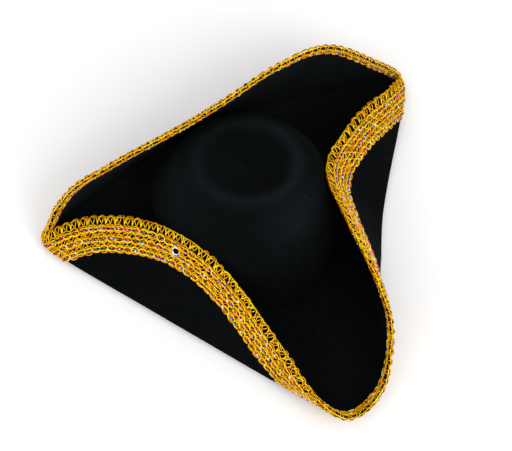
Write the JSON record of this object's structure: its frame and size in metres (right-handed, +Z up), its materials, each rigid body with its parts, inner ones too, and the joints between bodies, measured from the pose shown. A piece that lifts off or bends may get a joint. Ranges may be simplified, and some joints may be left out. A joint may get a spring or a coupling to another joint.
{
  "type": "pirate hat",
  "caption": "Three-cornered pirate hat in black felt: round-topped crown, brim turned up in flaps, wide gold gimp braid along the edge, a small metal eyelet in one flap.",
  "frame": {"origin": "centre of the head opening, on the plane of the brim's underside", "axes": "+Z up, -Y towards the front corner, +X towards the wearer's left"},
  "size_m": [0.4117, 0.3485, 0.1237],
  "materials": {
    "felt": "matte wool-like felt with a short nap",
    "braid": "metallic gold gimp thread, satin",
    "sweatband": "black grosgrain ribbon",
    "black_thread": "matte sewing thread",
    "label": "blank woven satin",
    "nickel": "bright nickel plating"
  },
  "bodies": {
    "root": {"crown": "felt", "brim": "felt", "sweatband": "sweatband", "sweatband_stitches": "black_thread", "care_label": "label", "label_stitches": "black_thread", "braid_edge_threads": "braid", "braid_edge_row": "braid", "braid_middle_row": "braid", "braid_lower_row": "braid", "braid_inner_row": "braid", "braid_edge_fold": "braid", "braid_lapped_end": "braid", "eyelet": "nickel", "eyelet_washer": "nickel", "tack_right": "black_thread", "tack_left": "black_thread", "tack_back": "black_thread"}
  },
  "joints": []
}
